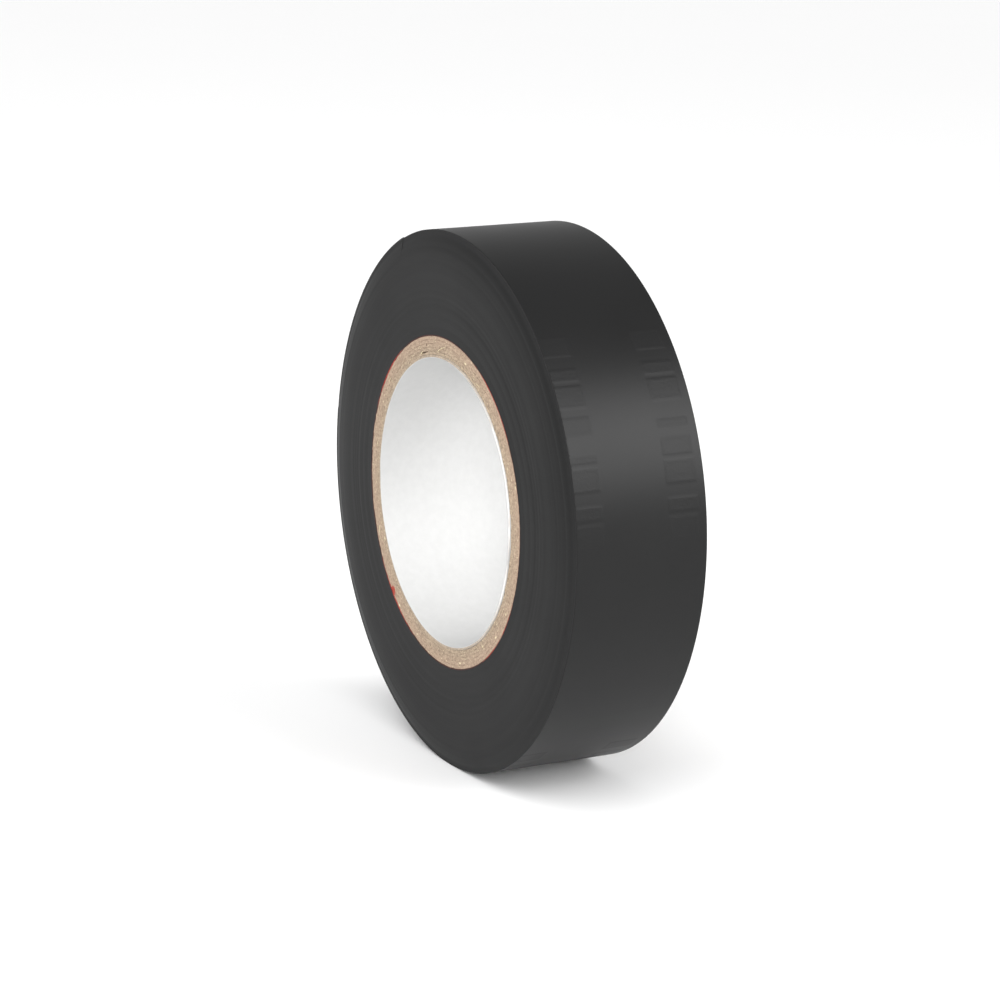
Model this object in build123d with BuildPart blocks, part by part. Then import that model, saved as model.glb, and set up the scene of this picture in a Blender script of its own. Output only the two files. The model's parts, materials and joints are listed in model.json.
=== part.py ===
from build123d import *
import os
from math import cos, degrees, pi, radians, sin

# A roll of PVC electrical tape on a paper core, standing on its rim like a wheel.
# Frame: origin at the centre of the bore at half the roll's width, Y along the bore, +Z up.
# The front face looks towards -Y. Millimetres.

# Core: a paper tube wound from plies, lined with white paper, with a printed wrap outside.
roll_width = 19.0             # length of the core, and width of the wound tape beside it
bore_radius = 19.05           # a 1.5 inch core
liner_thickness = 0.35
ply_count = 5
ply_thickness = 0.49
wrap_thickness = 0.15
seam_gap = 0.12               # width of the butt seam where a ply's two edges meet
seam_lean = 32.0              # how far a seam leans from the tube's axis, in degrees
first_seam = 205.0            # place of the innermost ply's seam, in degrees from +X to +Z
seam_stagger = 137.0          # turn from one ply's seam to the next

# Tape: a film with adhesive on its inner side, wound as a spiral.
film_thickness = 0.095
adhesive_thickness = 0.030
turns = 110
fall_width = 5.75             # the outer part of the front face, which falls back
front_fall = 0.6              # how far it has fallen back at the rim
front_rim_round = 0.25
back_rim_round = 0.1

# Free end: the last of the strip, cut into short hinged lengths that peel off the roll.
tip_direction = 112.0         # place of the strip's cut end, in degrees from +X to +Z
tail_links = 6
tail_link_length = 6.0
link_gap = 0.02               # clearance between one length and the next
lift = 0.02                   # clearance under the free end, which never lies quite flat

# Sizes that follow.
half_width = roll_width / 2
core_radius = bore_radius + liner_thickness + ply_count * ply_thickness + wrap_thickness
pitch = film_thickness + adhesive_thickness
roll_radius = core_radius + turns * pitch
turned_radius = roll_radius - 3 * pitch       # inside this the turns are one turned solid
flat_radius = roll_radius - fall_width
strip_setback = front_fall + front_rim_round
strip_width = roll_width - strip_setback - back_rim_round

# A turn is two half circles whose centres are half a pitch apart on the line to the tip, so
# that each half turn is half a pitch smaller than the one outside it. Turns nest face to
# face, and the cut end is a step of one thickness.
near_centre = pitch / 4
far_centre = -pitch / 4
near_radius = roll_radius - pitch / 4
far_radius = roll_radius - 3 * pitch / 4

link_angle = degrees(tail_link_length / near_radius)
gap_angle = degrees(link_gap / near_radius)
tail_angle = tail_links * link_angle

core_front = Plane.XZ.offset(half_width)
tip_x = (cos(radians(tip_direction)), 0, sin(radians(tip_direction)))
strip_front = Plane((0, strip_setback - half_width, 0), x_dir=tip_x, z_dir=(0, -1, 0))

os.makedirs("parts", exist_ok=True)


def save(piece, node):
    """Labels a finished piece and writes it as its node."""
    piece.part.label = node
    export_step(piece.part, f"parts/{node}.step")


def core_ring(inner, outer, seam=None):
    """A ring of the core, as long as the roll is wide. A ply has a leaning butt seam."""
    with BuildPart() as ring:
        with BuildSketch(core_front):
            Circle(outer)
            Circle(inner, mode=Mode.SUBTRACT)
        extrude(amount=-roll_width)
        if seam is not None:
            # a leaning cut is longer than the roll's width, and the lean carries it round the
            # tube, so it is deeper than the ply too
            with BuildSketch(seam_plane(inner, outer, seam)):
                Rectangle(seam_gap, 2 * roll_width, rotation=seam_lean)
            extrude(amount=outer / 8, both=True, mode=Mode.SUBTRACT)
    return ring


def seam_plane(inner, outer, seam):
    """The plane that touches the middle of a ply at its seam, seen from outside."""
    out = (cos(radians(seam)), 0, sin(radians(seam)))
    middle = (inner + outer) / 2
    return Plane((out[0] * middle, 0, out[2] * middle), x_dir=(-out[2], 0, out[0]), z_dir=out)


def turn_arcs(depth, start, end):
    """A turn's surface at a depth under the outermost one. Angles are from the tip."""
    if start < 180:
        CenterArc((near_centre, 0), near_radius - depth, start, min(end, 180) - start)
    if end > 180:
        first = max(start, 180)
        CenterArc((far_centre, 0), far_radius - depth, first, end - first)


def turn_point(depth, angle):
    """The point of a turn's surface at an angle from the tip."""
    if angle <= 180:
        centre, radius = near_centre, near_radius - depth
    else:
        centre, radius = far_centre, far_radius - depth
    return (centre + radius * cos(radians(angle)), radius * sin(radians(angle)))


def strip(upper, lower, start, end):
    """A length of film or adhesive, between two depths and two angles from the tip."""
    with BuildPart() as length:
        with BuildSketch(strip_front):
            with BuildLine():
                turn_arcs(upper, start, end)
                turn_arcs(lower, start, end)
                Line(turn_point(upper, start), turn_point(lower, start))
                Line(turn_point(upper, end), turn_point(lower, end))
            make_face()
        extrude(amount=-strip_width)
    return length


# Core, from the bore outwards.
liner_radius = bore_radius + liner_thickness
save(core_ring(bore_radius, liner_radius), "core_liner")

for n in range(ply_count):
    ply_inner = liner_radius + n * ply_thickness
    ply_seam = first_seam + n * seam_stagger
    save(core_ring(ply_inner, ply_inner + ply_thickness, ply_seam), f"core_ply_{n + 1}")

save(core_ring(core_radius - wrap_thickness, core_radius), "core_wrap")

# The wound turns under the last one, bonded into one body: a turned solid with a front face
# that falls back to its rim, and the spiral that stands on it.
with BuildPart() as tape_pack:
    with BuildSketch(Plane.XY):
        with BuildLine():
            TangentArc((flat_radius, -half_width),
                       (turned_radius - front_rim_round, front_fall - half_width),
                       tangent=(1, 0))
            Polyline(
                (flat_radius, -half_width),
                (core_radius, -half_width),
                (core_radius, half_width),
                (turned_radius - back_rim_round, half_width),
            )
            CenterArc((turned_radius - back_rim_round, half_width - back_rim_round),
                      back_rim_round, 0, 90)
            Line((turned_radius, half_width - back_rim_round),
                 (turned_radius, strip_setback - half_width))
            CenterArc((turned_radius - front_rim_round, strip_setback - half_width),
                      front_rim_round, 270, 90)
        make_face()
    revolve(axis=Axis.Y)
    with BuildSketch(strip_front):
        with BuildLine():
            turn_arcs(pitch, 0, 360)
            Line(turn_point(pitch, 0), turn_point(pitch, 360))
        make_face()
        Circle(core_radius, mode=Mode.SUBTRACT)
    extrude(amount=-strip_width)
save(tape_pack, "tape_pack")

# The last turn, which is stuck down from the foot of the free end to the turn under the tip.
stuck_start = tail_angle + gap_angle / 2
save(strip(0, film_thickness, stuck_start, 360), "last_turn_film")
save(strip(film_thickness, pitch, stuck_start, 360), "last_turn_adhesive")

# The free end, from its foot to the tip. Each length turns on the film's outer edge at its
# end nearer the foot, so the joint opens on the adhesive side.
for n in range(tail_links):
    foot = tail_angle - n * link_angle - gap_angle / 2
    head = foot - link_angle + (gap_angle if n < tail_links - 1 else gap_angle / 2)
    save(strip(-lift, film_thickness - lift, head, foot), f"tail_film_{n + 1}")
    save(strip(film_thickness - lift, pitch - lift, head, foot), f"tail_adhesive_{n + 1}")

print(f"roll radius {roll_radius:.3f}, strip length {turns * pi * (core_radius + roll_radius):.0f}")
for n in range(tail_links):
    hinge = tail_angle - n * link_angle
    x, z = turn_point(-lift, hinge)
    place = strip_front.from_local_coords((x, z, 0))
    print(f"hinge {n + 1}: x {place.X:.5f} z {place.Z:.5f}")
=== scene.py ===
import json
import math

import bpy
import numpy as np
from bpy.props import FloatProperty, FloatVectorProperty, IntProperty, PointerProperty
from bpy.types import Operator, Panel, PropertyGroup
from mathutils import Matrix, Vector


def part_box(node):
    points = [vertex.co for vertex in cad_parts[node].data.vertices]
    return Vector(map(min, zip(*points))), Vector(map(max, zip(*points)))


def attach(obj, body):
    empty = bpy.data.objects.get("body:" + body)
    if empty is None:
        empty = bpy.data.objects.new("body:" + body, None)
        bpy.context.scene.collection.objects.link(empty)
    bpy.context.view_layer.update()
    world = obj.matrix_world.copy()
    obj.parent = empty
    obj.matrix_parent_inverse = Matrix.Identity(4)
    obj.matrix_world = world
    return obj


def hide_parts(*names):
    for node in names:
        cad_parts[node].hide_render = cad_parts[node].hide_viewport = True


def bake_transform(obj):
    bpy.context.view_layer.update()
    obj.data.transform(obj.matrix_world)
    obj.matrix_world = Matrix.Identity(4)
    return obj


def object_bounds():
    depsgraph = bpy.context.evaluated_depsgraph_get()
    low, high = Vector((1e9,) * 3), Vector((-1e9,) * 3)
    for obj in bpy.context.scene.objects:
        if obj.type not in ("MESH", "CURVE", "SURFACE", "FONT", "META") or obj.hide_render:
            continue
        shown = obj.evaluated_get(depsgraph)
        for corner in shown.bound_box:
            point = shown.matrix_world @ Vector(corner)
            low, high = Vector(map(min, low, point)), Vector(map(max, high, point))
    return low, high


bl_info = {
    "name": "Electrical Tape Roll",
    "version": (1, 0, 0),
    "blender": (4, 5, 0),
    "location": "View3D > Sidebar > Tape Roll",
    "description": "Builds a roll of black insulating tape and its paper core around the CAD frame",
    "category": "Object",
}

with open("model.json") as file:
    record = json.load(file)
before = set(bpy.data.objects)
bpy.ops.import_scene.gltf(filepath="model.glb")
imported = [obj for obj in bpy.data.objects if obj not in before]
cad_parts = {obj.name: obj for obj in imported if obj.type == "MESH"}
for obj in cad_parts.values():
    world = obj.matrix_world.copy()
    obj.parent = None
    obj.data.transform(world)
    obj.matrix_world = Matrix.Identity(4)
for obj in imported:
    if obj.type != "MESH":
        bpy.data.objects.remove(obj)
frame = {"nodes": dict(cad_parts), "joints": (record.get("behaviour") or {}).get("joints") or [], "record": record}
CAD_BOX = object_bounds()

# ---------------------------------------------------------------------------------------------
# Sizes read from the frame, in metres. Y runs along the bore and the front face is at -Y.
# ---------------------------------------------------------------------------------------------

MM = 0.001
FULL_TURN = 2 * math.pi

MOUNTS = {mount["name"]: mount for mount in frame["record"]["mounts"]}
HINGES = [joint for joint in frame["joints"] if joint["name"].startswith("tail_peel_")]
PLIES = [name for name in sorted(frame["nodes"]) if name.startswith("core_ply_")]


def outer_radius(node):
    """How far a ring of the core reaches from the bore's axis."""
    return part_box(node)[1][0]


FRONT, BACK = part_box("tape_pack")[0][1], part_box("tape_pack")[1][1]
EDGE_REACH = 0.2 * MM         # how far the strip's front edge stands over the pack's rounding
BAND_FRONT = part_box("last_turn_film")[0][1] - EDGE_REACH
BAND_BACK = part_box("last_turn_film")[1][1]
BORE_RADIUS = MOUNTS["core_bore"]["dims"]["r_mm"] * MM
LINER_RADIUS = outer_radius("core_liner")
CORE_RADIUS = outer_radius("core_wrap")
PLY_THICKNESS = (outer_radius(PLIES[-1]) - LINER_RADIUS) / len(PLIES)

FILM = 0.095 * MM
ADHESIVE = 0.030 * MM
PITCH = FILM + ADHESIVE
LIFT = 0.02 * MM              # clearance under the free end


def hinge_angle(joint):
    """Place of a hinge round the roll, from +X towards +Z."""
    return math.atan2(joint["pos_m"][2], joint["pos_m"][0])


LINK_ANGLE = hinge_angle(HINGES[0]) - hinge_angle(HINGES[1])
TIP = hinge_angle(HINGES[-1]) - LINK_ANGLE
FOOT = hinge_angle(HINGES[0]) - TIP
ROLL_RADIUS = (math.hypot(HINGES[0]["pos_m"][0], HINGES[0]["pos_m"][2]) - LIFT
               + PITCH * FOOT / FULL_TURN)

# ---------------------------------------------------------------------------------------------
# Settings. A length can't be negative, and a place may lie either way.
# ---------------------------------------------------------------------------------------------

COLOUR = {"subtype": "COLOR", "size": 3, "min": 0, "max": 1}
PLACE = {"subtype": "DISTANCE", "unit": "LENGTH"}
LENGTH = {**PLACE, "min": 0}
ANGLE = {"subtype": "ANGLE", "unit": "ROTATION"}


class RollCoreSettings(PropertyGroup):
    """The paper core"""
    board: FloatVectorProperty(name="Board", description="Colour of the raw board",
                               default=(0.375, 0.294, 0.214), **COLOUR)
    fibre: FloatVectorProperty(name="Fibre", description="Colour of the pale fibres and flecks",
                               default=(0.80, 0.70, 0.46), **COLOUR)
    ink: FloatVectorProperty(name="Ink", description="Colour of the printed wrap",
                             default=(0.34, 0.03, 0.02), **COLOUR)
    # painted shade: the liner paper is painted grey, darker than the white sheet, for the shade inside the bore
    paper: FloatVectorProperty(name="Liner paper", description="Colour of the bore's paper",
                               default=(0.54, 0.54, 0.535), **COLOUR)
    # painted highlight: the lip is the same paper as the liner, painted near-white and lighter than the rest of
    # the liner
    lip: FloatVectorProperty(name="Lip", description="Colour of the liner's lifted edge",
                             default=(0.88, 0.88, 0.87), **COLOUR)
    relief: FloatProperty(name="Cut relief", description="Height of the fibres on the cut ends",
                          default=0.035 * MM, **LENGTH)
    edge: FloatProperty(name="Edge", description="Rounding of a ply's cut edges",
                        default=0.05 * MM, **LENGTH)
    seam_gap: FloatProperty(name="Seam gap", description="Gap where a ply's two edges meet",
                            default=0.06 * MM, **LENGTH)
    seam_lean: FloatProperty(name="Seam lean", description="Lean of the seams from the bore's axis",
                             default=math.radians(32), **ANGLE)
    first_seam: FloatProperty(name="First seam", description="Place of the innermost ply's seam",
                              default=math.radians(205), **ANGLE)
    seam_stagger: FloatProperty(name="Seam stagger", description="Turn from one seam to the next",
                                default=math.radians(137), **ANGLE)
    crack_place: FloatProperty(name="Crack place", description="Where two plies have parted",
                               default=math.radians(105.3), **ANGLE)
    crack_reach: FloatProperty(name="Crack reach", description="Half the length of the crack",
                               default=math.radians(2.6), **ANGLE)
    crack_gap: FloatProperty(name="Crack gap", description="Widest opening of the crack",
                             default=0.2 * MM, **PLACE)
    crack_depth: FloatProperty(name="Crack depth", description="How far in the crack closes",
                               default=1.2 * MM, **PLACE)
    lip_place: FloatProperty(name="Lip place", description="Where the liner's edge has lifted",
                             default=math.radians(5), **ANGLE)
    lip_reach: FloatProperty(name="Lip reach", description="How far round the lip runs",
                             default=math.radians(48), **ANGLE)
    lip_peel: FloatProperty(name="Lip peel", description="How far the lip stands off the wall",
                            default=0.2 * MM, **LENGTH)
    tongue_place: FloatProperty(name="Tongue place", description="Where the lip stands off most",
                                default=math.radians(-10), **ANGLE)
    red_place: FloatProperty(name="Red place", description="Middle of a stretch where red shows",
                             default=math.radians(47.5), **ANGLE)
    red_stretches: IntProperty(name="Red stretches", description="Stretches round the core",
                               min=1, default=4)
    smear_place: FloatProperty(name="Smear place", description="Where ink has run onto the board",
                               default=math.radians(-135), **ANGLE)


class RollTapeSettings(PropertyGroup):
    """The wound tape"""
    film: FloatVectorProperty(name="Film", description="Colour of the PVC film",
                              default=(0.005, 0.005, 0.0051), **COLOUR)
    slit: FloatVectorProperty(name="Slit edge", description="Colour of the wound edges",
                              default=(0.0090, 0.0090, 0.0092), **COLOUR)
    gum: FloatVectorProperty(name="Adhesive", description="Colour of the adhesive",
                             default=(0.008, 0.008, 0.0085), **COLOUR)
    fall_width: FloatProperty(name="Fall width", description="Width of the front face's outer part",
                              default=5.75 * MM, **LENGTH)
    rim_round: FloatProperty(name="Rim rounding", description="Rounding of the front rim",
                             default=0.05 * MM, **LENGTH)
    drift: FloatProperty(name="Drift", description="How far the front edge wanders round the roll",
                         default=0.4 * MM, **LENGTH)
    ripple: FloatProperty(name="Ripple", description="Height of the bands on the wound faces",
                          default=0.022 * MM, **LENGTH)
    emboss: FloatProperty(name="Emboss", description="Height of the pressed marks",
                          default=0.014 * MM, **LENGTH)
    mark_row: FloatProperty(name="Mark row", description="Height of a row of marks",
                            default=4.4 * MM, **LENGTH)
    row_pitch: FloatProperty(name="Row pitch", description="From one row of marks to the next",
                             default=13.35 * MM, **LENGTH)
    back_row: FloatProperty(name="Back row", description="Middle of the row near the back rim",
                            default=6.15 * MM, **PLACE)
    cell: FloatProperty(name="Cell", description="Length of one mark along the strip",
                        default=3.12 * MM, **LENGTH)
    mark_pitch: FloatProperty(name="Mark pitch", description="From one group to the next",
                              default=62 * MM, **LENGTH)
    mark_start: FloatProperty(name="Mark start", description="Where a group starts round the roll",
                              default=math.radians(1.6), **ANGLE)


class RollStageSettings(PropertyGroup):
    """Floor, lights and camera"""
    floor: FloatVectorProperty(name="Floor", description="Colour of the floor",
                               default=(0.92, 0.92, 0.92), **COLOUR)
    azimuth: FloatProperty(name="Azimuth", description="Camera's turn from the front face",
                           default=math.radians(62.84), **ANGLE)
    elevation: FloatProperty(name="Elevation", description="Camera's height over the bore's axis",
                             default=math.radians(12.73), **ANGLE)
    distance: FloatProperty(name="Distance", description="Camera's distance from the roll",
                            default=415.9 * MM, **PLACE)
    lens: FloatProperty(name="Lens", description="Focal length on a 36 mm sensor, in millimetres",
                        default=113.44)
    aside: FloatProperty(name="Aside", description="How far the roll stands right of the middle",
                         default=1.31 * MM, **PLACE)
    above: FloatProperty(name="Above", description="How far the roll stands over the middle",
                         default=0.62 * MM, **PLACE)
    rim_middle: FloatProperty(name="Rim middle", description="Aim point along the bore",
                              default=0.44 * MM, **PLACE)
    horizon: FloatProperty(name="Horizon", description="Brightness of the surroundings low down",
                           min=0, default=0.75)
    ceiling: FloatProperty(name="Ceiling", description="Brightness of the surroundings overhead",
                           min=0, default=0.47)
    key: FloatProperty(name="Key", description="Strength of the broad light from the front",
                       min=0, default=2.05)
    fill: FloatProperty(name="Fill", description="Power of the soft box beside the camera",
                        min=0, default=0.35)
    side: FloatProperty(name="Side", description="Power of the soft box beside the roll",
                        min=0, default=1.4)


# ---------------------------------------------------------------------------------------------
# Surfaces
# ---------------------------------------------------------------------------------------------


def waver(place, spacing, seed, around=None):
    """Smooth random height along a line: a random value every spacing, with cosine steps between.
    Where around is given, the line closes on itself after that length."""
    count = 997 if around is None else max(3, round(around / spacing))
    values = np.random.default_rng(seed).uniform(-1, 1, count)
    step = np.asarray(place) / (spacing if around is None else around / count)
    low = np.floor(step).astype(int)
    share = (1 - np.cos(math.pi * (step - low))) / 2
    return values[low % count] * (1 - share) + values[(low + 1) % count] * share


def grain(along, across, size_along, size_across, seed):
    """Smooth random height over a plane: random values on a lattice, blended by cosine steps."""
    values = np.random.default_rng(seed).uniform(-1, 1, (211, 199))
    u, v = np.broadcast_arrays(along / size_along, across / size_across)
    i, j = np.floor(u).astype(int), np.floor(v).astype(int)
    s, t = (1 - np.cos(math.pi * (u - i))) / 2, (1 - np.cos(math.pi * (v - j))) / 2
    near = values[i % 211, j % 199] * (1 - s) + values[(i + 1) % 211, j % 199] * s
    far = values[i % 211, (j + 1) % 199] * (1 - s) + values[(i + 1) % 211, (j + 1) % 199] * s
    return near * (1 - t) + far * t


def bell(x, middle, reach):
    """A smooth hump of height one: the exponential of minus the squared distance in reaches."""
    return np.exp(-((x - middle) / reach) ** 2)


def wrapped(angle):
    """An angle brought between minus and plus half a turn."""
    return (angle + math.pi) % FULL_TURN - math.pi


def on_circles(radius, angle, y):
    """Points round the Y axis: X and Z are radius times the cosine and the sine of angle."""
    radius, angle, y = np.broadcast_arrays(radius, angle, y)
    return np.stack([radius * np.cos(angle), y, radius * np.sin(angle)], axis=-1)


def section(low, high, front, back, rounding, low_steps, high_steps, end_steps):
    """A closed outline of a ring's wall, as heights and places along Y: the front end from low to
    high, the high side to the back, the back end, and the low side to the front. Corners are
    quarter circles of the rounding's radius."""
    corner = np.linspace(0, math.pi / 2, 4)

    def quarter(centre_h, centre_y, turn):
        return centre_h + rounding * np.sin(turn), centre_y - rounding * np.cos(turn)

    heights, places = [], []

    def add(h, y):
        h, y = np.broadcast_arrays(h, y)
        heights.append(np.asarray(h, float))
        places.append(np.asarray(y, float))

    inner, outer = low + rounding, high - rounding
    nose, heel = front + rounding, back - rounding
    add(np.linspace(inner, outer, end_steps)[:-1], front)
    add(*quarter(outer, nose, corner[:-1]))
    add(high, np.linspace(nose, heel, high_steps)[:-1])
    add(*quarter(outer, heel, corner[:-1] + math.pi / 2))
    add(np.linspace(outer, inner, end_steps)[:-1], back)
    add(*quarter(inner, heel, corner[:-1] + math.pi))
    add(low, np.linspace(heel, nose, low_steps)[:-1])
    add(*quarter(inner, nose, corner[:-1] + 1.5 * math.pi))
    return np.concatenate(heights), np.concatenate(places)


def surface(name, points, ring, material, along=None, tone=None):
    """A mesh from a grid of points: rows follow a path and each row is a closed outline. A ring
    joins its last row to its first, and an open path gets a flat cap at each end. The sum of the
    corners' triple products, six times the signed volume, says which way the faces look.
    along gives each point's place on the strip as a UV map, and tone fills an attribute."""
    rows, cols = points.shape[:2]
    i = np.arange(rows if ring else rows - 1)[:, None]
    j = np.arange(cols)[None, :]
    here, there = i * cols, (i + 1) % rows * cols
    side = (j + 1) % cols
    quads = np.stack([here + j, there + j, there + side, here + side], -1).reshape(-1, 4)
    corners = points.reshape(-1, 3)
    a, b, c, d = (corners[quads[:, k]] for k in range(4))
    volume = np.einsum("ij,ij->", a, np.cross(b, c)) + np.einsum("ij,ij->", a, np.cross(c, d))
    faces = (quads if volume > 0 else quads[:, ::-1]).tolist()
    if not ring:
        start = list(range(cols))
        end = list(range(rows * cols - 1, (rows - 1) * cols - 1, -1))
        faces += [start, end] if volume > 0 else [start[::-1], end[::-1]]
    mesh = bpy.data.meshes.new(name)
    mesh.from_pydata(corners, [], faces)
    mesh.polygons.foreach_set("use_smooth", np.ones(len(mesh.polygons), bool))
    mesh.set_sharp_from_angle(angle=math.radians(40))
    if along is not None:
        index = np.empty(len(mesh.loops), int)
        mesh.loops.foreach_get("vertex_index", index)
        layer = mesh.uv_layers.new(name="strip")
        layer.data.foreach_set("uv", along.reshape(-1, 2)[index].astype(np.float32).ravel())
    if tone is not None:
        attribute = mesh.attributes.new("mark", "FLOAT", "POINT")
        attribute.data.foreach_set("value", tone.astype(np.float32).ravel())
    mesh.materials.append(material)
    mesh.update()
    made = bpy.data.objects.new(name, mesh)
    bpy.context.scene.collection.objects.link(made)
    return made


# ---------------------------------------------------------------------------------------------
# Materials
# ---------------------------------------------------------------------------------------------


def node(tree, kind, inputs=(), **settings):
    """Adds a shader node, sets its properties, and gives its inputs values or links."""
    made = tree.nodes.new(kind)
    for key, value in settings.items():
        setattr(made, key, value)
    for socket, value in dict(inputs).items():
        if isinstance(value, bpy.types.NodeSocket):
            tree.links.new(value, made.inputs[socket])
        else:
            made.inputs[socket].default_value = value
    return made


def sums(tree, kind, first, second=0.0):
    """A math node's result."""
    return node(tree, "ShaderNodeMath", {0: first, 1: second}, operation=kind).outputs[0]


def plus(tree, first, second):
    """Two values added."""
    return sums(tree, "ADD", first, second)


def times(tree, first, second):
    """Two values multiplied."""
    return sums(tree, "MULTIPLY", first, second)


def scaled(colour, factor):
    """A colour made darker or lighter."""
    return tuple(factor * c for c in colour)


def span(tree, value, low, high, to_low, to_high):
    """Moves a value from one range to another, held at the ends."""
    ranges = {"From Min": low, "From Max": high, "To Min": to_low, "To Max": to_high}
    return node(tree, "ShaderNodeMapRange", {"Value": value, **ranges}).outputs[0]


def mixed(tree, share, first, second):
    """Blends two colours, each a socket or three numbers."""
    made = node(tree, "ShaderNodeMix", {0: share}, data_type="RGBA")
    for socket, colour in ((6, first), (7, second)):
        if isinstance(colour, bpy.types.NodeSocket):
            tree.links.new(colour, made.inputs[socket])
        else:
            made.inputs[socket].default_value = (*colour, 1)
    return made.outputs[2]


def noise(tree, vector, scale, detail=2.0, roughness=0.5):
    """A noise texture's value."""
    inputs = {"Vector": vector, "Scale": scale, "Detail": detail, "Roughness": roughness}
    return node(tree, "ShaderNodeTexNoise", inputs).outputs["Fac"]


def bumped(tree, height, distance, normal=None, strength=1.0):
    """A normal tilted by a height field, distance metres tall."""
    inputs = {"Height": height, "Distance": distance, "Strength": strength}
    if normal is not None:
        inputs["Normal"] = normal
    return node(tree, "ShaderNodeBump", inputs).outputs["Normal"]


def vector_of(tree, x, y, z):
    """Three values as one vector."""
    return node(tree, "ShaderNodeCombineXYZ", {"X": x, "Y": y, "Z": z}).outputs[0]


def roll_coordinates(tree):
    """Radius, angle and place along the bore, from Object coordinates."""
    place = node(tree, "ShaderNodeTexCoord").outputs["Object"]
    split = node(tree, "ShaderNodeSeparateXYZ", {0: place})
    x, y, z = split.outputs
    radius = sums(tree, "SQRT", plus(tree, times(tree, x, x), times(tree, z, z)))
    return place, radius, sums(tree, "ARCTAN2", z, x), y


def new_material(name, **shader):
    """A material with one Principled shader, whose even values are set on its own sockets."""
    material = bpy.data.materials.new(name)
    material.use_nodes = True
    tree = material.node_tree
    principled = tree.nodes["Principled BSDF"]
    for socket, value in shader.items():
        principled.inputs[socket.replace("_", " ")].default_value = value
    return material, tree, principled


def link(tree, principled, **sockets):
    """Links results to the shader's sockets."""
    for socket, value in sockets.items():
        tree.links.new(value, principled.inputs[socket.replace("_", " ")])


def board_material(core):
    """Raw board on its cut end: coarse grit with strands that run round the tube, pale yellow
    flecks, dark specks, a pink cast towards the wrap, and one smear of ink where it has bled."""
    material, tree, shader = new_material("raw_board", Specular_IOR_Level=0.2)
    place, radius, angle, y = roll_coordinates(tree)
    arc = times(tree, angle, CORE_RADIUS)
    flow = vector_of(tree, arc, times(tree, radius, 2.2), y)
    strands = noise(tree, flow, 1500, 4, 0.65)
    cloud = noise(tree, place, 420, 3, 0.6)
    grit = noise(tree, place, 4300, 3, 0.7)
    dark, light = scaled(core.board, 0.5), scaled(core.board, 1.42)
    mix = plus(tree, times(tree, strands, 0.45), times(tree, grit, 0.55))
    base = mixed(tree, span(tree, mix, 0.38, 0.62, 0, 1), dark, light)
    base = mixed(tree, span(tree, cloud, 0.35, 0.7, 0, 0.3), base, core.board)
    pink = tuple(f * c for f, c in zip((1.1, 0.93, 0.95), core.board))
    base = mixed(tree, span(tree, radius, LINER_RADIUS, CORE_RADIUS, 0, 0.45), base, pink)
    for size, least, strength in ((2600.0, 0.78, 0.75), (1100.0, 0.88, 1.0)):
        fleck = node(tree, "ShaderNodeTexVoronoi", {"Vector": flow, "Scale": size})
        chosen = sums(tree, "GREATER_THAN", fleck.outputs["Color"], least)
        near = span(tree, fleck.outputs["Distance"], 0.12, 0.42, strength, 0)
        base = mixed(tree, times(tree, chosen, near), base, core.fibre)
    speck = span(tree, noise(tree, place, 3100, 2, 0.6), 0.64, 0.72, 0, 0.6)
    base = mixed(tree, speck, base, scaled(core.board, 0.3))
    middle = on_circles(CORE_RADIUS - 0.3 * MM, core.smear_place, FRONT)
    away = node(tree, "ShaderNodeVectorMath", {0: place, 1: tuple(middle)}, operation="DISTANCE")
    ragged = plus(tree, away.outputs["Value"], times(tree, grit, 0.0006))
    smear = span(tree, ragged, 0.00085, 0.0011, 0.85, 0)
    base = mixed(tree, smear, base, core.ink)
    link(tree, shader, Base_Color=base, Roughness=span(tree, cloud, 0.3, 0.7, 0.82, 0.95),
         Normal=bumped(tree, mix, 0.06 * MM, strength=0.8))
    return material


def fibre_material(core):
    """A pale wood fibre, a little streaked along its length."""
    material, tree, shader = new_material("pale_fibre", Specular_IOR_Level=0.3, Roughness=0.7)
    place = node(tree, "ShaderNodeTexCoord").outputs["Object"]
    streak = noise(tree, place, 3800, 3, 0.6)
    pale = scaled(core.fibre, 0.72)
    link(tree, shader, Base_Color=mixed(tree, span(tree, streak, 0.35, 0.65, 0, 1), pale,
                                        core.fibre),
         Normal=bumped(tree, streak, 0.01 * MM, strength=0.5))
    return material


def liner_material(core):
    """Smooth paper with a faint cloudy sheet formation and fine tooth, its white painted grey as painted shade
    inside the bore. The paper colour is only on the sheet's face, so its cut end shows raw board, except along the
    lifted lip, whose cut end is painted near-white as a painted highlight."""
    material, tree, shader = new_material("liner_paper", Specular_IOR_Level=0.35)
    place, radius, _, y = roll_coordinates(tree)
    cloud = noise(tree, place, 900, 4, 0.6)
    tooth = noise(tree, place, 5200, 3, 0.6)
    # the paper colour here is painted grey as painted shade inside the bore
    shade = scaled(core.paper, 0.955)
    base = mixed(tree, span(tree, cloud, 0.35, 0.65, 0, 1), shade, core.paper)
    raw = mixed(tree, span(tree, tooth, 0.36, 0.64, 0, 1), scaled(core.board, 0.66),
                scaled(core.board, 1.25))
    depth = sums(tree, "SUBTRACT", BACK, sums(tree, "ABSOLUTE", y))
    cut = times(tree, span(tree, depth, 0.00002, 0.00006, 1, 0),
                span(tree, radius, BORE_RADIUS + 0.02 * MM, BORE_RADIUS + 0.06 * MM, 0, 1))
    lifted = node(tree, "ShaderNodeAttribute", attribute_name="mark").outputs["Fac"]
    # painted highlight: the lifted lip's cut end is painted near-white, lighter than the liner's own paper
    base = mixed(tree, times(tree, cut, lifted), base, core.lip)
    cut = times(tree, cut, sums(tree, "SUBTRACT", 1.0, lifted))
    link(tree, shader, Base_Color=mixed(tree, cut, base, raw),
         Roughness=span(tree, cloud, 0.3, 0.7, 0.5, 0.6),
         Normal=bumped(tree, tooth, 0.012 * MM, strength=0.5))
    return material


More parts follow.
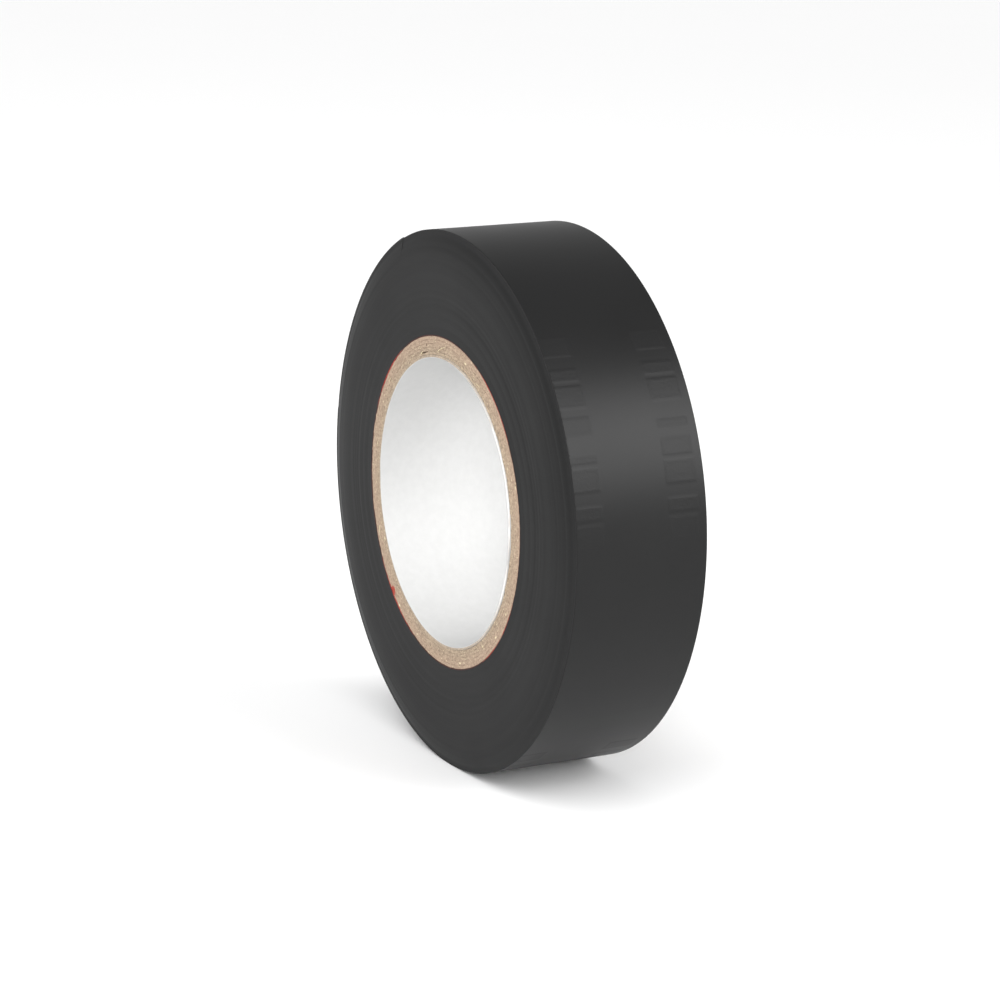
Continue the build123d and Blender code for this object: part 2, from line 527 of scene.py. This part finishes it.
def wrap_material(core):
    """Red printed paper. Most of its cut end is painted near-black as painted shade, so the red shows in
    stretches, and in a few places it is worn to the board."""
    material, tree, shader = new_material("printed_wrap", Specular_IOR_Level=0.3)
    place, _, angle, _ = roll_coordinates(tree)
    grit = noise(tree, place, 4000, 2, 0.6)
    ink = mixed(tree, span(tree, grit, 0.4, 0.7, 0, 1), core.ink, scaled(core.ink, 1.4))
    worn = span(tree, noise(tree, place, 260, 3, 0.7), 0.55, 0.66, 0, 0.8)
    base = mixed(tree, worn, ink, scaled(core.board, 0.8))
    # painted shade: a near-black brown laid over most of the cut end, leaving the red only in stretches round the
    # core
    past = sums(tree, "SUBTRACT", angle, core.red_place)
    swing = sums(tree, "COSINE", times(tree, past, core.red_stretches))
    unshaded = plus(tree, swing, times(tree, noise(tree, place, 420, 3, 0.6), 1.6))
    painted_shade = span(tree, unshaded, 1.15, 1.75, 0.93, 0.2)
    base = mixed(tree, painted_shade, base, (0.03, 0.017, 0.014))
    link(tree, shader, Base_Color=base, Roughness=span(tree, grit, 0.3, 0.7, 0.6, 0.8),
         Normal=bumped(tree, grit, 0.03 * MM, strength=0.5))
    return material


def slit_material(tape):
    """The wound turns' slit edges. The pattern follows the winding: the radius plus one pitch a
    turn is even along a turn, so a noise over it gives bands, and a sine over it gives a line
    for each turn."""
    material, tree, shader = new_material("slit_turns", Specular_IOR_Level=0.18)
    place, radius, angle, y = roll_coordinates(tree)
    wound = plus(tree, radius, times(tree, angle, PITCH / FULL_TURN))
    bands = noise(tree, vector_of(tree, wound, 0.0, 0.0), 520, 5, 0.62)
    drift = noise(tree, place, 45, 2, 0.5)
    turn = sums(tree, "SINE", times(tree, wound, FULL_TURN / PITCH))
    drag = noise(tree, vector_of(tree, times(tree, wound, 6.0), times(tree, angle, 0.004), y),
                 2600, 2, 0.5)
    low, high = scaled(tape.slit, 0.82), scaled(tape.slit, 1.2)
    base = mixed(tree, span(tree, bands, 0.3, 0.7, 0, 1), low, high)
    rough = plus(tree, span(tree, bands, 0.3, 0.7, 0.50, 0.60),
                 span(tree, drift, 0.3, 0.7, -0.03, 0.03))
    height = plus(tree, times(tree, turn, 0.12),
                  plus(tree, times(tree, bands, 1.0), times(tree, drag, 0.25)))
    link(tree, shader, Base_Color=base, Roughness=rough,
         Normal=bumped(tree, height, 0.02 * MM, strength=0.6))
    return material


def film_material(tape):
    """Calendered PVC film with a satin face. Its pattern reads the strip's own UV map, which is
    in metres. The pressed marks are duller than the film round them."""
    material, tree, shader = new_material("pvc_film", Specular_IOR_Level=0.26)
    strip = node(tree, "ShaderNodeUVMap", uv_map="strip").outputs[0]
    mark = node(tree, "ShaderNodeAttribute", attribute_name="mark").outputs["Fac"]
    cloud = noise(tree, strip, 60, 2, 0.5)
    tooth = noise(tree, strip, 5200, 3, 0.55)
    low, high = scaled(tape.film, 0.9), scaled(tape.film, 1.1)
    base = mixed(tree, span(tree, cloud, 0.3, 0.7, 0, 1), low, high)
    rough = plus(tree, span(tree, cloud, 0.3, 0.7, 0.40, 0.43), times(tree, mark, 0.03))
    # the press has left the marks with a coarser grain than the film round them
    pressed = times(tree, mark, noise(tree, strip, 2300, 3, 0.6))
    link(tree, shader, Base_Color=base, Roughness=rough,
         Normal=bumped(tree, pressed, 0.02 * MM, bumped(tree, tooth, 0.004 * MM, strength=0.5)))
    return material


def gum_material(tape):
    """Tacky rubber adhesive: nearly a gloss, with fine streaks across the coating."""
    material, tree, shader = new_material("tape_adhesive", Specular_IOR_Level=0.5)
    strip = node(tree, "ShaderNodeUVMap", uv_map="strip").outputs[0]
    split = node(tree, "ShaderNodeSeparateXYZ", {0: strip}).outputs
    streak = noise(tree, vector_of(tree, times(tree, split[0], 0.15), split[1], 0.0),
                   2600, 3, 0.6)
    low, high = scaled(tape.gum, 0.8), scaled(tape.gum, 1.25)
    base = mixed(tree, span(tree, streak, 0.3, 0.7, 0, 1), low, high)
    link(tree, shader, Base_Color=base, Roughness=span(tree, streak, 0.3, 0.7, 0.16, 0.30),
         Normal=bumped(tree, streak, 0.004 * MM, strength=0.6))
    return material


def floor_material(stage):
    """A plain pale floor."""
    material, tree, shader = new_material("studio_floor", Specular_IOR_Level=0.1, Roughness=0.9)
    place = node(tree, "ShaderNodeTexCoord").outputs["Object"]
    soft = noise(tree, place, 6, 2, 0.5)
    low = scaled(stage.floor, 0.99)
    link(tree, shader, Base_Color=mixed(tree, soft, low, stage.floor))
    return material


# ---------------------------------------------------------------------------------------------
# Core
# ---------------------------------------------------------------------------------------------


def leaning(angle, y, radius, lean):
    """The angle of a line that leans round the tube as it goes along it."""
    return angle + math.tan(lean) * y / radius


def ply_points(core, number, inner, outer, seam):
    """One ply: a rounded wall section carried round the tube from one edge of its seam to the
    other. The cut ends are raised and lowered by grain that is long round the tube. The outer
    side draws in by a small waver, and by a bell where the crack is, fading with depth."""
    height, y = section(inner, outer, FRONT, BACK, core.edge, 5, 5, 6)
    middle = (inner + outer) / 2
    half_gap = core.seam_gap / 2 / middle
    way = np.linspace(half_gap, FULL_TURN - half_gap, 840)[:, None]
    angle = leaning(seam + way, y[None, :], middle, core.seam_lean)
    height, y = np.broadcast_arrays(height[None, :], y[None, :])
    outside = (height - inner) / (outer - inner)
    shrink = 0.006 * MM * (1 + waver(angle * middle, 1.7 * MM, 40 + number))
    if number == 0:
        depth = np.exp(-(y - FRONT) / core.crack_depth)
        shrink = shrink + core.crack_gap * depth * bell(
            wrapped(angle - core.crack_place), 0, core.crack_reach)
    height = height - shrink * outside
    at_end = np.clip((np.abs(y) - (BACK - 1.5 * core.edge)) / core.edge, 0, 1)
    cut = grain(angle * middle, height, 0.55 * MM, 0.13 * MM, 60 + number)
    cut = cut + 0.7 * grain(angle * middle, height, 0.17 * MM, 0.1 * MM, 80 + number)
    stand = 0.5 * waver(angle * middle, 3.1 * MM, 70 + number)
    y = y + np.sign(y) * at_end * core.relief * (cut + stand - 0.6)
    return on_circles(height, angle, y)


class ROLL_OT_plies(Operator):
    """Build the core's plies of raw board"""
    bl_idname = "roll.plies"
    bl_label = "Board plies"

    def execute(self, context):
        core = context.scene.roll_core
        material = board_material(core)
        for number, name in enumerate(PLIES):
            inner = LINER_RADIUS + number * PLY_THICKNESS
            seam = core.first_seam + number * core.seam_stagger
            points = ply_points(core, number, inner, inner + PLY_THICKNESS, seam)
            ply = surface(f"board_ply_{number + 1}", points, False, material)
            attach(ply, "roll")
            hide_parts(name)
        return {"FINISHED"}


def fibre_points(radius, angle, bow, thickness):
    """A fibre on the front end, between two radii and two angles. Its path is even in radius and
    angle, bowed outwards by the sine of the way, and it leaves the board and comes back to it
    with the same sine. Each row is a circle round the path, which thins towards both ends."""
    way = np.linspace(0, 1, 25)[:, None]
    turn = np.linspace(0, FULL_TURN, 8, endpoint=False)[None, :]
    rise = np.sin(math.pi * way)
    r = radius[0] + (radius[1] - radius[0]) * way + bow * rise
    a = angle[0] + (angle[1] - angle[0]) * way
    half = thickness / 2 * (0.25 + 0.75 * np.sqrt(rise.clip(0)))
    path = on_circles(r, a, FRONT + 0.25 * thickness - 0.8 * thickness * rise)
    ahead = np.gradient(path[:, 0], axis=0)
    ahead = ahead / np.linalg.norm(ahead, axis=1)[:, None]
    side = np.cross(ahead, (0, 1, 0))
    side = side / np.linalg.norm(side, axis=1)[:, None]
    over = np.cross(side, ahead)
    return (path + (half * np.cos(turn))[..., None] * side[:, None]
            + (half * np.sin(turn))[..., None] * over[:, None])


# Fibres that have come loose. Each row gives a fibre's two radii in millimetres past the liner,
# its two angles in degrees, and its bow and thickness in millimetres.
FIBRES = (
    (0.28, 1.36, 94.3, 87.2, 0.12, 0.085),
    (0.20, 0.62, 108.6, 106.4, -0.05, 0.11),
    (1.30, 1.52, 141.0, 137.5, 0.06, 0.06),
    (0.70, 1.05, 166.0, 169.5, 0.05, 0.06),
    (1.75, 1.40, 204.0, 199.8, -0.06, 0.07),
    (0.55, 0.95, 61.0, 57.5, 0.06, 0.06),
)


class ROLL_OT_fibres(Operator):
    """Lay the fibres that have come loose from the cut board"""
    bl_idname = "roll.fibres"
    bl_label = "Loose fibres"

    def execute(self, context):
        material = fibre_material(context.scene.roll_core)
        for number, (inner, outer, start, end, bow, thickness) in enumerate(FIBRES, 1):
            radius = (LINER_RADIUS + inner * MM, LINER_RADIUS + outer * MM)
            angle = (math.radians(start), math.radians(end))
            points = fibre_points(radius, angle, bow * MM, thickness * MM)
            fibre = surface(f"loose_fibre_{number}", points, False, material)
            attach(fibre, "roll")
        return {"FINISHED"}


LAP_PLACE = math.radians(-20)   # where the liner's own edge laps over it
LAP_STEP = 0.05 * MM            # how far the paper steps there
TONGUE_REACH = math.radians(7)  # how far round the lip's most lifted part runs


class ROLL_OT_liner(Operator):
    """Line the bore with white paper"""
    bl_idname = "roll.liner"
    bl_label = "Bore liner"

    def execute(self, context):
        core = context.scene.roll_core
        height, y = section(BORE_RADIUS, LINER_RADIUS, FRONT, BACK, 0.04 * MM, 44, 3, 4)
        angle = np.linspace(0, FULL_TURN, 720, endpoint=False)[:, None]
        height, y, angle = np.broadcast_arrays(height[None, :], y[None, :], angle)
        # the wall wavers a little, and a lap of the paper leans across it
        round_the_bore = FULL_TURN * BORE_RADIUS
        arc = angle * BORE_RADIUS
        inside = (LINER_RADIUS - height) / (LINER_RADIUS - BORE_RADIUS)
        waves = 0.018 * MM * waver(arc, 6 * MM, 11, round_the_bore)
        waves = waves + 0.01 * MM * grain(arc, y, 1.9 * MM, 2.3 * MM, 12)
        lap = wrapped(angle - leaning(LAP_PLACE, y, BORE_RADIUS, core.seam_lean))
        step = LAP_STEP / (1 + np.exp(-lap * BORE_RADIUS / LAP_STEP))
        step = step * np.clip(1 - lap * BORE_RADIUS / (4 * MM), 0, 1)
        height = height + inside * (waves - step)
        # the cut edge stands a little proud where the knife left a burr, and at one side the
        # sheet has come away as a lip
        lip = np.clip((FRONT + 0.3 * MM - y) / (0.3 * MM), 0, 1)
        burr = 0.02 * MM * (1 + waver(arc, 2.3 * MM, 13, round_the_bore))
        lifted = np.clip(1.6 * bell(wrapped(angle - core.lip_place), 0, core.lip_reach), 0, 1)
        lifted = lifted * (0.8 + 0.2 * waver(arc, 1.3 * MM, 14, round_the_bore))
        tongue = bell(wrapped(angle - core.tongue_place), 0, TONGUE_REACH)
        peel = core.lip_peel * (lifted + tongue) * np.clip((FRONT + 2 * MM - y) / (2 * MM), 0, 1) ** 2
        height = height - peel
        y = y - lip * (burr + 0.5 * core.lip_peel * lifted)
        liner = surface("bore_liner", on_circles(height, angle, y), True, liner_material(core),
                        tone=lifted)
        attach(liner, "roll")
        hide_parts("core_liner")
        return {"FINISHED"}


class ROLL_OT_wrap(Operator):
    """Wrap the core in printed paper"""
    bl_idname = "roll.wrap"
    bl_label = "Printed wrap"

    def execute(self, context):
        core = context.scene.roll_core
        inner = LINER_RADIUS + len(PLIES) * PLY_THICKNESS
        height, y = section(inner, CORE_RADIUS, FRONT, BACK, 0.03 * MM, 4, 4, 3)
        angle = np.linspace(0, FULL_TURN, 900, endpoint=False)[:, None]
        height, y, angle = np.broadcast_arrays(height[None, :], y[None, :], angle)
        around = FULL_TURN * CORE_RADIUS
        frayed = waver(angle * CORE_RADIUS, 0.4 * MM, 21, around)
        frayed = frayed + waver(angle * CORE_RADIUS, 2.1 * MM, 22, around)
        at_end = np.clip((np.abs(y) - (BACK - 0.1 * MM)) / (0.1 * MM), 0, 1)
        y = y + np.sign(y) * at_end * 0.02 * MM * frayed
        wrap = surface("printed_wrap", on_circles(height, angle, y), True, wrap_material(core))
        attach(wrap, "roll")
        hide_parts("core_wrap")
        return {"FINISHED"}


# ---------------------------------------------------------------------------------------------
# Tape
# ---------------------------------------------------------------------------------------------


def turn_radius(depth, way):
    """Radius of the strip's surface: the roll's radius, less the depth, less one pitch for each
    turn of the way round from the tip."""
    return ROLL_RADIUS - depth - PITCH * way / FULL_TURN


def drifted(tape, angle, y):
    """The front edge wanders: each place along Y is moved back by the drift, times half of one
    less the cosine of the angle, times its share of the way from the back edge to the front."""
    share = np.clip((BAND_BACK - y) / (BAND_BACK - BAND_FRONT), 0, 1)
    return y + tape.drift * (1 - np.cos(angle)) / 2 * share


def rim_outline(tape):
    """The pack's wall as radii and places along Y. The front face is flat, and its outer part
    falls back with the square of the way out. A quarter circle turns it over the rim.
    Under the strip's edge the wall drops by one pitch and a little, so that the strip lies in a
    seat. The back is flat, with a small rounding."""
    seat = ROLL_RADIUS - 1.2 * PITCH
    rounding, back_rounding = tape.rim_round, BACK - BAND_BACK
    turn = np.linspace(0, math.pi / 2, 9)[1:]

    out = np.linspace(CORE_RADIUS, ROLL_RADIUS - rounding, 100)
    beyond = np.clip(1 - (out[-1] - out) / (tape.fall_width - rounding), 0, 1)
    fallen = FRONT + (BAND_FRONT - rounding - FRONT) * beyond ** 2
    rim_r = ROLL_RADIUS - rounding * (1 - np.sin(turn))
    rim_y = BAND_FRONT - rounding * np.cos(turn) - 0.004 * MM
    seat_y = np.linspace(rim_y[-1], BAND_BACK, 6)
    back_r = seat - back_rounding * (1 - np.cos(turn))
    back_y = BAND_BACK + back_rounding * np.sin(turn)
    inward = np.linspace(back_r[-1], CORE_RADIUS, 70)[1:]
    bore_y = np.linspace(BACK, FRONT, 6)[1:-1]
    radius = [out, rim_r, np.full(6, seat), back_r, inward, np.full(4, CORE_RADIUS)]
    y = [fallen, rim_y, seat_y, back_y, np.full(69, BACK), bore_y]
    return np.concatenate(radius), np.concatenate(y)


class ROLL_OT_pack(Operator):
    """Wind the turns under the last one"""
    bl_idname = "roll.pack"
    bl_label = "Wound turns"

    def execute(self, context):
        tape = context.scene.roll_tape
        radius, y = rim_outline(tape)
        way = np.linspace(0, FULL_TURN, 481)[:, None]
        radius, y, way = np.broadcast_arrays(radius[None, :], y[None, :], way)
        out = (radius - CORE_RADIUS) / (ROLL_RADIUS - CORE_RADIUS)
        # the bands keep to the winding, and die out at the core and over the rim
        wound = radius + PITCH * way / FULL_TURN
        bands = waver(wound, 1.9 * MM, 31) + 0.6 * waver(wound, 0.8 * MM, 32)
        bands = bands + 0.35 * waver(wound, 0.37 * MM, 33)
        slow = 1 + 0.35 * waver(way * ROLL_RADIUS, 40 * MM, 34, FULL_TURN * ROLL_RADIUS)
        on_face = np.clip(out / 0.04, 0, 1) * np.clip((1 - out) / 0.06, 0, 1)
        on_face = on_face * (np.abs(y) > BAND_BACK - 1 * MM)
        y = y - np.sign(y) * tape.ripple * on_face * (1 + bands * slow)
        # the outer turns follow the spiral, whose end is a step under the tip, and drift. Under
        # the free end the rim stands one pitch lower, level with the turn below.
        outer = np.clip((out - 0.8) / 0.15, 0, 1)
        rim = (radius > ROLL_RADIUS - PITCH) & (way < FOOT)
        radius = radius - outer * PITCH * way / FULL_TURN - rim * (radius - ROLL_RADIUS + PITCH)
        y = y + outer * (drifted(tape, TIP + way, y) - y)
        pack = surface("wound_turns", on_circles(radius, TIP + way, y), False,
                       slit_material(tape))
        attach(pack, "roll")
        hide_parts("tape_pack")
        return {"FINISHED"}


# One group of pressed marks: the length of each plain pad, as a share of its cell, and the way
# from one pad's start to the next, in cells.
MARK_PADS = (1.0, 0.62, 1.0, 0.8, 0.4, 1.0, 0.62, 1.0)
PAD_SPACING = 1.12


def pressed_marks(tape, way, y):
    """Height of the pressed marks, from none to one, for places on the strip. A group of plain
    pads, one to a cell, repeats at the mark pitch in two rows, and one row's pads are in the
    reverse order. A pad's height is the distance to its nearest edge over the width of its
    slope, held at one, and inside its border the pad sinks by a third."""
    slope = 0.25 * MM
    start = (tape.mark_start - TIP) % FULL_TURN
    arc = (way - start) * ROLL_RADIUS % tape.mark_pitch
    kept = np.zeros(np.broadcast(way, y).shape)
    for row, pads in enumerate((MARK_PADS, MARK_PADS[::-1])):
        across = np.abs(y - tape.back_row + row * tape.row_pitch)
        for number, share in enumerate(pads):
            along = arc - number * tape.cell * PAD_SPACING
            inside = np.minimum(np.minimum(along, share * tape.cell - along),
                                tape.mark_row / 2 - across) / slope
            pad = np.clip(inside, 0, 1) - np.clip((inside - 1.5) / 3, 0, 0.33)
            kept = np.maximum(kept, pad)
    return kept


def strip_piece(name, tape, layer, way, lift, material, fine):
    """A length of film or adhesive. Its section is carried along the spiral, whose radius falls
    by one pitch a turn, and it is lifted by lift at each place. The film's outer side is raised
    by the pressed marks."""
    upper, lower = layer
    steps = 88 if fine else 30
    depth, y = section(-lower, -upper, BAND_FRONT, BAND_BACK, 0.012 * MM, 8, steps, 3)
    way, lift = way[:, None], lift[:, None]
    depth, y = -depth[None, :], y[None, :]
    marks = pressed_marks(tape, way, y) if fine else np.zeros((len(way), y.shape[1]))
    marks = marks * (depth < upper + 0.001 * MM)
    radius = turn_radius(depth, way) + lift + tape.emboss * marks
    along = np.stack(np.broadcast_arrays(way * ROLL_RADIUS, y), -1)
    y = drifted(tape, TIP + way, y)
    return surface(name, on_circles(radius, TIP + way, y), False, material, along, marks)


def layers(tape, pattern):
    """The strip's two layers: name, CAD node, depths, material slot, material, and whether its
    outer side shows."""
    film = bpy.data.materials.get("pvc_film") or film_material(tape)
    gum = bpy.data.materials.get("tape_adhesive") or gum_material(tape)
    return (
        ("film", pattern.format("film"), (0.0, FILM), "tape_film", film, True),
        ("adhesive", pattern.format("adhesive"), (FILM, PITCH), "adhesive", gum, False),
    )


class ROLL_OT_last_turn(Operator):
    """Lay the last turn of film and its adhesive"""
    bl_idname = "roll.last_turn"
    bl_label = "Last turn"

    def execute(self, context):
        tape = context.scene.roll_tape
        for name, cad, layer, slot, material, fine in layers(tape, "last_turn_{}"):
            way = np.linspace(FOOT, FULL_TURN, 880 if fine else 440)
            piece = strip_piece(f"turn_{name}", tape, layer, way, np.zeros(len(way)), material, fine)
            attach(piece, "roll")
            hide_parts(cad)
        return {"FINISHED"}


class ROLL_OT_free_end(Operator):
    """Lay the free end in lengths, one for each of its hinges"""
    bl_idname = "roll.free_end"
    bl_label = "Free end"

    def execute(self, context):
        tape = context.scene.roll_tape
        count = len(HINGES)
        for number in range(count):
            # each length runs from the middle of one link to the middle of the next
            hinge = FOOT - number * LINK_ANGLE
            begin = hinge if number == 0 else hinge + LINK_ANGLE / 2
            settle = hinge - LINK_ANGLE / 2
            end = 0 if number == count - 1 else settle
            for name, cad, layer, slot, material, fine in layers(tape, "tail_{}_%d" % (number + 1)):
                way = np.linspace(end, begin, 2 + round((begin - end) * ROLL_RADIUS / (0.2 * MM)))
                lift = LIFT * np.clip((FOOT - way) / (LINK_ANGLE / 2), 0, 1)
                piece = strip_piece(f"end_{name}_{number + 1}", tape, layer, way, lift, material,
                                    fine)
                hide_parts(cad)
                start_point, end_point = (
                    on_circles(ROLL_RADIUS, TIP + a, 0.0) for a in (begin, settle))
                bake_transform(piece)
        return {"FINISHED"}


# ---------------------------------------------------------------------------------------------
# Stage
# ---------------------------------------------------------------------------------------------


# Where the broad light comes from, and each soft box's place, size and spread.
KEY_FROM = (0.3, -0.45, 0.84)
FILL_BOX = ((0.66, -0.42, 0.16), (0.3, 0.3), math.radians(60))
SIDE_BOX = ((0.74, 0.475, 0.475), (0.6, 0.65), math.radians(70))
FLOOR_RINGS = (0.2, 0.5, 1.2, 3.0, 8.0)
FLOOR_SPOKES = 96


def area_light(name, box, power):
    """A rectangular soft light that faces the roll's middle and lights a cone of its spread."""
    place, size, spread = box
    data = bpy.data.lights.new(name, "AREA")
    data.shape = "RECTANGLE"
    data.size, data.size_y = size
    data.energy = power
    data.spread = spread
    light = bpy.data.objects.new(name, data)
    light.location = place
    light.rotation_euler = (-Vector(place)).to_track_quat("-Z", "Y").to_euler()
    bpy.context.scene.collection.objects.link(light)


def view_axes(azimuth, elevation):
    """Backward, right and up of a camera that looks at the roll from an azimuth and elevation."""
    back = Vector((math.sin(azimuth) * math.cos(elevation),
                   -math.cos(azimuth) * math.cos(elevation), math.sin(elevation)))
    right = (-back).cross(Vector((0, 0, 1))).normalized()
    return back, right, right.cross(-back)


class ROLL_OT_stage(Operator):
    """Set the floor, the soft lights and the camera"""
    bl_idname = "roll.stage"
    bl_label = "Stage"

    def execute(self, context):
        scene = context.scene
        stage = scene.roll_stage

        # the floor is a wide disc of rings round the roll, closed by one face in the middle
        count = len(FLOOR_RINGS)
        reach = np.array(FLOOR_RINGS)[None, :, None]
        angle = np.linspace(0, FULL_TURN, FLOOR_SPOKES, endpoint=False)[:, None, None]
        ground = np.full((FLOOR_SPOKES, count, 1), CAD_BOX[0][2])
        points = np.concatenate([reach * np.cos(angle), reach * np.sin(angle), ground], axis=2)
        here = np.arange(FLOOR_SPOKES)[:, None] * count + np.arange(count - 1)[None, :]
        there = (here + count) % (FLOOR_SPOKES * count)
        quads = np.stack([here, here + 1, there + 1, there], -1).reshape(-1, 4)
        middle = [list(range(0, FLOOR_SPOKES * count, count))]
        mesh = bpy.data.meshes.new("studio_floor")
        mesh.from_pydata(points.reshape(-1, 3), [], quads.tolist() + middle)
        mesh.materials.append(floor_material(stage))
        floor = bpy.data.objects.new("studio_floor", mesh)
        scene.collection.objects.link(floor)

        # the surroundings are bright at the horizon and fade to a darker ceiling
        world = bpy.data.worlds.new("studio")
        world.use_nodes = True
        tree = world.node_tree
        way = node(tree, "ShaderNodeTexCoord").outputs["Generated"]
        height = node(tree, "ShaderNodeSeparateXYZ", {0: way}).outputs[2]
        tree.links.new(span(tree, height, 0.1, 0.6, stage.horizon, stage.ceiling),
                       tree.nodes["Background"].inputs["Strength"])
        tree.nodes["Background"].inputs["Color"].default_value = (1, 1, 1, 1)
        scene.world = world

        sun = bpy.data.objects.new("key", bpy.data.lights.new("key", "SUN"))
        sun.data.energy = stage.key
        sun.data.angle = math.radians(60)
        sun.rotation_euler = Vector(KEY_FROM).to_track_quat("Z", "Y").to_euler()
        scene.collection.objects.link(sun)
        area_light("fill_box", FILL_BOX, stage.fill)
        area_light("side_box", SIDE_BOX, stage.side)

        back, right, up = view_axes(stage.azimuth, stage.elevation)
        camera = bpy.data.objects.new("camera", bpy.data.cameras.new("camera"))
        camera.data.lens = stage.lens
        camera.data.sensor_width = 36
        camera.data.clip_start = 0.01
        camera.location = (Vector((0, stage.rim_middle, 0)) + back * stage.distance
                           - right * stage.aside - up * stage.above)
        camera.rotation_euler = (-back).to_track_quat("-Z", "Y").to_euler()
        scene.collection.objects.link(camera)
        scene.camera = camera
        scene.view_settings.view_transform = "Standard"
        return {"FINISHED"}


class ROLL_PT_sidebar(Panel):
    """The roll's pieces in the order in which they are made"""
    bl_idname = "ROLL_PT_sidebar"
    bl_label = "Tape Roll"
    bl_space_type = "VIEW_3D"
    bl_region_type = "UI"
    bl_category = "Tape Roll"

    def draw(self, context):
        for operator in OPERATORS:
            self.layout.operator(operator.bl_idname, text=operator.bl_label)


OPERATORS = (ROLL_OT_stage, ROLL_OT_liner, ROLL_OT_plies, ROLL_OT_fibres, ROLL_OT_wrap,
             ROLL_OT_pack, ROLL_OT_last_turn, ROLL_OT_free_end)
SETTINGS = {"roll_core": RollCoreSettings, "roll_tape": RollTapeSettings,
            "roll_stage": RollStageSettings}
CLASSES = (*SETTINGS.values(), *OPERATORS, ROLL_PT_sidebar)


def register():
    """Registers the classes and puts the settings on the scene."""
    for cls in CLASSES:
        bpy.utils.register_class(cls)
    for name, group in SETTINGS.items():
        setattr(bpy.types.Scene, name, PointerProperty(type=group))


def unregister():
    """Takes the settings and the classes away again."""
    for name in SETTINGS:
        delattr(bpy.types.Scene, name)
    for cls in reversed(CLASSES):
        bpy.utils.unregister_class(cls)


def main():
    """Builds everything in order."""
    register()
    for operator in OPERATORS:
        group, call = operator.bl_idname.split(".")
        getattr(getattr(bpy.ops, group), call)()


if __name__ == "__main__":
    main()
